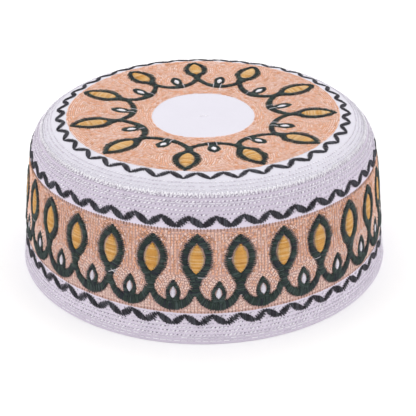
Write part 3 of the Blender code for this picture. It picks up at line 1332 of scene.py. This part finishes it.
def weaveGroup():
    # plain weave on a map measured in mm
    inputs = {"Map": "Vector", "Threads per mm": 2.4, "Slub": 0.3, "Rib": 0.25}
    tree, given, made = newGroup("plain weave", inputs, {"Height": "Float", "Shade": "Float"})
    across, up = acrossAndUp(tree, given["Map"])
    waves = [wave(tree, times(tree, way, given["Threads per mm"]), math.pi) for way in (across, up)]
    slub = times(tree, noise(tree, given["Map"], 0.8, 4.0), given["Slub"])
    height = maths(tree, "ADD", scaled(tree, times(tree, *waves), 0.5, 0.5), slub)
    plug(tree, made["Height"], height)
    # now and then a thicker level thread
    levelPitch = 0.78
    level = times(tree, wave(tree, up, turn / levelPitch), noise(tree, given["Map"], 0.12, 1.0))
    shade = scaled(tree, level, given["Rib"], scaled(tree, height, 0.3, 0.3))
    plug(tree, made["Shade"], maths(tree, "MAXIMUM", shade, 0.0))
    return tree


def needleGroup():
    # where the needle went in, row by row: the mask for the painted shade in the needle holes
    inputs = {"Map": "Vector", "From": 0.0, "To": 10.0}
    inputs.update({"Row Pitch": 1.2, "Hole Pitch": 1.6, "Size": 0.2})
    tree, given, made = newGroup("needle holes", inputs, {"Mask": "Float"})
    across, up = acrossAndUp(tree, given["Map"])
    above = maths(tree, "SUBTRACT", up, given["From"])
    row = maths(tree, "ADD", maths(tree, "DIVIDE", above, given["Row Pitch"]), 0.5)
    column = maths(tree, "DIVIDE", across, given["Hole Pitch"])
    column = scaled(tree, maths(tree, "FLOOR", row), 0.5, column)
    squares = []
    for place, pitch in ((row, "Row Pitch"), (column, "Hole Pitch")):
        off = maths(tree, "SUBTRACT", maths(tree, "FRACT", place), 0.5)
        off = times(tree, off, given[pitch])
        squares.append(times(tree, off, off))
    away = maths(tree, "SQRT", maths(tree, "ADD", *squares))
    hole = maths(tree, "LESS_THAN", away, given["Size"])
    beyond = 0.6  # the pricks begin and end a little beyond the outer rows
    over = maths(tree, "GREATER_THAN", above, -beyond)
    under = maths(tree, "LESS_THAN", up, maths(tree, "ADD", given["To"], beyond))
    plug(tree, made["Mask"], times(tree, hole, times(tree, over, under)))
    return tree


def stitchedRingGroup():
    # where the close peach stitching colours the cloth between two lengths
    inputs = {"Map": "Vector", "From": 15.0, "To": 55.0, "Oval": 0.0, "Edge Oval": 0.0}
    tree, given, made = newGroup("stitched ring", inputs, {"Mask": "Float"})
    across, up = acrossAndUp(tree, given["Map"])
    turned = maths(tree, "COSINE", times(tree, across, 2 / plan["chartRadius"]))
    waver = scaled(tree, noise(tree, given["Map"], 1.4), 0.5, -0.25)
    up = maths(tree, "ADD", up, waver)
    foot = scaled(tree, scaled(tree, turned, -0.5, 0.5), given["Edge Oval"], given["From"])
    top = maths(tree, "SUBTRACT", given["To"], times(tree, turned, given["Oval"]))
    above, below = maths(tree, "GREATER_THAN", up, foot), maths(tree, "LESS_THAN", up, top)
    plug(tree, made["Mask"], times(tree, above, below))
    return tree


def softBandGroup():
    # 1 between two lengths, fading to 0 over a softness at both ends
    inputs = {"Map": "Vector", "From": 0.0, "To": 10.0, "Softness": 2.0}
    tree, given, made = newGroup("soft band", inputs, {"Mask": "Float"})
    up = acrossAndUp(tree, given["Map"])[1]
    above, below = maths(tree, "SUBTRACT", up, given["From"]), maths(tree, "SUBTRACT", given["To"], up)
    rise = maths(tree, "DIVIDE", above, given["Softness"], clamp=True)
    fall = maths(tree, "DIVIDE", below, given["Softness"], clamp=True)
    plug(tree, made["Mask"], times(tree, rise, fall))
    return tree


def placed(tree, group, **values):
    node = tree.nodes.new("ShaderNodeGroup")
    node.node_tree = group
    for label, value in values.items():
        plug(tree, node.inputs[label.replace("_", " ")], value)
    return node.outputs


def uvOf(tree, name):
    node = tree.nodes.new("ShaderNodeUVMap")
    node.uv_map = name
    return node.outputs[0]


def attributeOf(tree, name):
    node = tree.nodes.new("ShaderNodeAttribute")
    node.attribute_name = name
    return node.outputs["Fac"]


def bumpOf(tree, height, bump):
    node = tree.nodes.new("ShaderNodeBump")
    node.inputs["Strength"].default_value, node.inputs["Distance"].default_value = bump
    plug(tree, node.inputs["Height"], height)
    return node.outputs[0]


def newMaterial(name):
    material = bpy.data.materials.new(name)
    material.use_nodes = True
    return material, material.node_tree, material.node_tree.nodes["Principled BSDF"].inputs


def solid(colour):
    return (*colour, 1.0)


def dyed(tree, groups, dyes, tone, patch, amount):
    dark, middle, light = map(solid, dyes)
    return placed(
        tree, groups["dye"], Dark=dark, Middle=middle, Light=light, Tone=tone,
        Patch_Scale=patch, Patch_Amount=amount,
    )["Color"]


def threadMaterial(look, groups):
    material, tree, shader = newMaterial(look["name"])
    paler = scaled(tree, attributeOf(tree, "crest"), -threadFinish["fadeSlope"], 1.0, clamp=True)
    tone = scaled(tree, paler, look["fade"], attributeOf(tree, "tone"))
    flat = uvOf(tree, "threadMap")
    twist = placed(tree, groups["twist"], Map=flat, Fibre=threadFinish["fibre"])
    colour = dyed(tree, groups, look["dyes"], tone, look["patch"], look["patchAmount"])
    plug(tree, shader["Base Color"], mixColours(tree, 1.0, colour, twist["Shade"], "MULTIPLY"))
    plug(tree, shader["Roughness"], scaled(tree, twist["Height"], 0.1, look["roughness"]))
    plug(tree, shader["Normal"], bumpOf(tree, twist["Height"], threadFinish["bump"]))
    shader["Sheen Weight"].default_value = look["sheen"]
    shader["Sheen Roughness"].default_value = threadFinish["sheenRoughness"]
    shader["Specular IOR Level"].default_value = threadFinish["specular"]
    return material


def cottonMaterial(look, groups):
    material, tree, shader = newMaterial(look["name"])
    flat = weaveMap = uvOf(tree, "rowMap")
    if look["straightWeave"]:
        # the cloth of the crown isn't turned: its threads run straight across, in mm
        weaveMap = vectorMaths(tree, "SCALE", objectPlace(tree), "Scale", 1 / mm)
    weave = placed(
        tree, groups["weave"], Map=weaveMap, Threads_per_mm=cottonFinish["threadsPerMm"],
        Slub=look["slub"], Rib=look["rib"],
    )
    patch, amount = cottonFinish["patch"], cottonFinish["patchAmount"]
    colour = dyed(tree, groups, look["white"], weave["Shade"], patch, amount)
    # painted shade: the hem, shoulder and crown border bands are darkened here
    for low, high, softness, amount in look["paintedShadeBands"]:
        shadeBand = placed(tree, groups["band"], Map=flat, From=low, To=high, Softness=softness)
        share = times(tree, shadeBand["Mask"], amount)
        colour = mixColours(tree, share, colour, solid(cottonFinish["shade"]))
    shown = scaled(tree, noise(tree, flat, 0.9, 0.0), 3.0, -1.0, clamp=True)  # not every prick shows
    # painted shade: the needle holes along the quilted rows darken the cloth
    for band in (quiltedBands[name] for name in look["quilted"]):
        holes = placed(
            tree, groups["holes"], Map=flat, From=band["low"], To=band["high"],
            Row_Pitch=(band["high"] - band["low"]) / (band["rows"] - 1),
            Hole_Pitch=wholePitch(band["pitch"]), Size=cottonFinish["prickSize"],
        )
        share = times(tree, holes["Mask"], shown)
        colour = mixColours(tree, share, colour, solid(look["prickShade"]))
    # the peach between the stitches, which carries painted shade of the gaps as well as its own colour
    ring = placed(tree, groups["ring"], Map=flat, **look["peachRing"])
    share = times(tree, ring["Mask"], scaled(tree, weave["Shade"], 0.25, 0.75, clamp=True))
    plug(tree, shader["Base Color"], mixColours(tree, share, colour, solid(look["peach"])))
    plug(tree, shader["Roughness"], scaled(tree, weave["Shade"], 0.1, cottonFinish["roughness"]))
    plug(tree, shader["Normal"], bumpOf(tree, weave["Height"], cottonFinish["bump"]))
    shader["Sheen Weight"].default_value = cottonFinish["sheen"]
    shader["Specular IOR Level"].default_value = cottonFinish["specular"]
    return material


def makeMaterials():
    groups = {
        "dye": dyeGroup(),
        "twist": twistGroup(),
        "weave": weaveGroup(),
        "holes": needleGroup(),
        "ring": stitchedRingGroup(),
        "band": softBandGroup(),
    }
    materials = {slot: threadMaterial(look, groups) for slot, look in threadDyes.items()}
    materials.update({slot: cottonMaterial(look, groups) for slot, look in cottons.items()})
    print("mixed", len(materials), "materials")
    return materials


# floor, light and camera

studio = {
    "floorSize": 14.0,
    "floorColour": (0.97, 0.97, 0.97),
    "floorGrain": 0.985,  # the darker grains of the floor, as a share of its colour
    "grainScale": 30.0,
    "floorRoughness": 0.9,
    "worldStrength": 1.0,
    "aim": (0, 0, 0.04),
    "softboxes": {
        "top": {"size": 1.2, "energy": 4.2, "place": (0.0, 0.45, 1.35)},
        "left": {"size": 1.0, "energy": 4.4, "place": (-1.4, -0.3, 0.7)},
        "right": {"size": 1.0, "energy": 4.4, "place": (1.4, -0.3, 0.7)},
    },
}
camera = {
    "place": (0.0, -0.45418, 0.26725),
    "looksAt": (0.00211, 0.0, 0.01823),
    "roll": -0.308,
    "lens": 86.74,
    "sensor": 36.0,
    "nearest": 0.01,
}


def makeFloor():
    half = studio["floorSize"] / 2
    corners = [(-half, -half, 0), (half, -half, 0), (half, half, 0), (-half, half, 0)]
    material, tree, shader = newMaterial("pale floor")
    colour = studio["floorColour"]
    dark = solid([part * studio["floorGrain"] for part in colour])
    grain = noise(tree, objectPlace(tree), studio["grainScale"])
    plug(tree, shader["Base Color"], mixColours(tree, grain, dark, solid(colour)))
    shader["Roughness"].default_value = studio["floorRoughness"]
    floor = newObject("floor", corners, [(0, 1, 2, 3)], material, smooth=False)


def makeLight(name, look):
    light = bpy.data.lights.new(name, "AREA")
    light.size = look["size"]
    light.energy = look["energy"]
    lamp = bpy.data.objects.new(name, light)
    bpy.context.scene.collection.objects.link(lamp)
    lamp.location = look["place"]
    aim = Vector(studio["aim"]) - lamp.location
    lamp.rotation_euler = aim.to_track_quat("-Z", "Y").to_euler()


def makeStudio():
    scene = bpy.context.scene
    world = bpy.data.worlds.new("soft white room")
    world.use_nodes = True
    background = world.node_tree.nodes["Background"].inputs
    background["Color"].default_value = (1.0, 1.0, 1.0, 1.0)
    background["Strength"].default_value = studio["worldStrength"]
    scene.world = world
    makeFloor()
    for name, look in studio["softboxes"].items():
        makeLight(name + " softbox", look)
    scene.view_settings.view_transform = "Standard"
    scene.view_settings.look = "None"
    print("lit the studio")


def makeCamera():
    data = bpy.data.cameras.new("camera")
    data.lens = camera["lens"]
    data.sensor_width = camera["sensor"]
    data.sensor_fit = "HORIZONTAL"
    data.clip_start = camera["nearest"]
    eye = bpy.data.objects.new("camera", data)
    bpy.context.scene.collection.objects.link(eye)
    place, target = Vector(camera["place"]), Vector(camera["looksAt"])
    look = (target - place).to_track_quat("-Z", "Y").to_matrix().to_4x4()
    roll = Matrix.Rotation(math.radians(camera["roll"]), 4, "Z")
    eye.matrix_world = Matrix.Translation(place) @ look @ roll
    bpy.context.scene.camera = eye


# put together


def makeKufi():
    materials = makeMaterials()
    makeCloth(materials)

    def sew(name, threads, chart, slot):
        piece = sewnThreads(name, threads, chart, materials[slot])
        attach(piece, "root")

    def sewVine(place, threads, chart):
        slots = {"Vine": "green_thread", "Buds": "green_thread"}
        slots.update({"Leaves": "yellow_thread", "Seeds": "white_thread"})
        for part, (name, slot) in zip(threads, slots.items()):
            sew(place + name, part, chart, slot)

    sideChart = ClearChart(**sideChartPlan)
    sideStems = [sideStem(index) for index in range(sideVine["repeats"])]
    sideThreads = vine(sideStems, sideShapes)
    sewVine("side", sideThreads, onSide)
    borders = {name: zigzagThreads(border) for name, border in zigzagBorders.items()}
    for name, threads in borders.items():
        sew(name, threads, onSide, "charcoal_thread")
    for threads in (*sideThreads, *borders.values()):
        sideChart.keepClear(threads)
    print("charted the side")
    sew("sideEchoes", echoRows(sideChart), onSide, "peach_thread")
    sew("sideColumns", columnRows(sideChart), onSide, "peach_thread")

    crownStemsLaid = stemsOfCrown()
    crownThreads = vine(crownStemsLaid, crownShapes)
    sewVine("crown", crownThreads, onCrown)
    crownChart = ClearChart(**crownChartPlan)
    for threads in crownThreads:
        crownChart.keepClear(threads)
    print("charted the crown")
    sew("crownGround", crownGroundThreads(crownChart), onCrown, "peach_thread")

    for name, band in quiltedBands.items():
        sew(name, quiltThreads(band, sideChart), onSide, "white_thread")
    sew("levelRows", levelThreads(), onSide, "white_thread")
    sew("seamStitches", seamThreads(), onSide, "white_thread")
    sew("seamCord", seamCord(), onSide, "white_thread")
    sew("looseThreads", [jumpThreads(jumps, jumpLook)], onSide, "white_thread")
    small = stemSideThreads(crownStemsLaid) + [jumpThreads(centreMark, centreLook)]
    sew("crownThreads", small, onCrown, "white_thread")


makeKufi()
makeStudio()
makeCamera()
